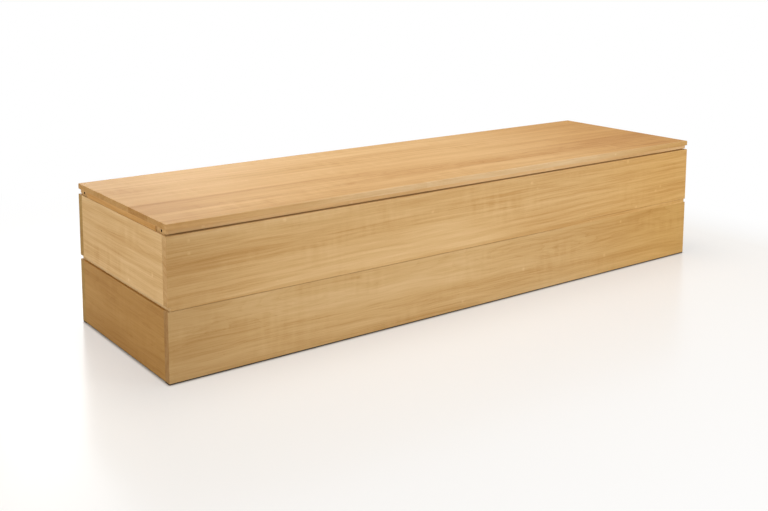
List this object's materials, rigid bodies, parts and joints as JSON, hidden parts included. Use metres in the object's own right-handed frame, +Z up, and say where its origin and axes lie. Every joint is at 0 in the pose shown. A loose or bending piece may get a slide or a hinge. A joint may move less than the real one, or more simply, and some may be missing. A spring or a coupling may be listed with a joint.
{
  "type": "wooden coffin",
  "caption": "Plain rectangular coffin of solid oak boards in two tiers, hollow inside, with a flat panelled lid on a recessed frame that lifts off.",
  "frame": {"origin": "centre of the underside, on the floor the coffin stands on", "axes": "+X along the length from the head end to the foot end, +Y across the width from the front face to the back face, +Z up"},
  "size_m": [2.08, 0.6, 0.425],
  "materials": {
    "oak_sides": "planed and oiled oak, long grain, satin",
    "oak_ends": "planed and oiled oak, long grain, satin",
    "oak_lid": "planed and oiled oak staves glued edge to edge, satin",
    "oak_rails": "planed oak, satin",
    "oak_bottom": "planed oak, matt"
  },
  "bodies": {
    "root": {"bottom_panel": "oak_bottom", "side_front_lower": "oak_sides", "side_front_upper": "oak_sides", "side_back_lower": "oak_sides", "side_back_upper": "oak_sides", "end_head_lower": "oak_ends", "end_head_upper": "oak_ends", "end_foot_lower": "oak_ends", "end_foot_upper": "oak_ends", "lid_panel": "oak_lid", "lid_rail_front": "oak_rails", "lid_rail_back": "oak_rails", "lid_cross_rail_head": "oak_rails", "lid_cross_rail_foot": "oak_rails"}
  },
  "joints": []
}
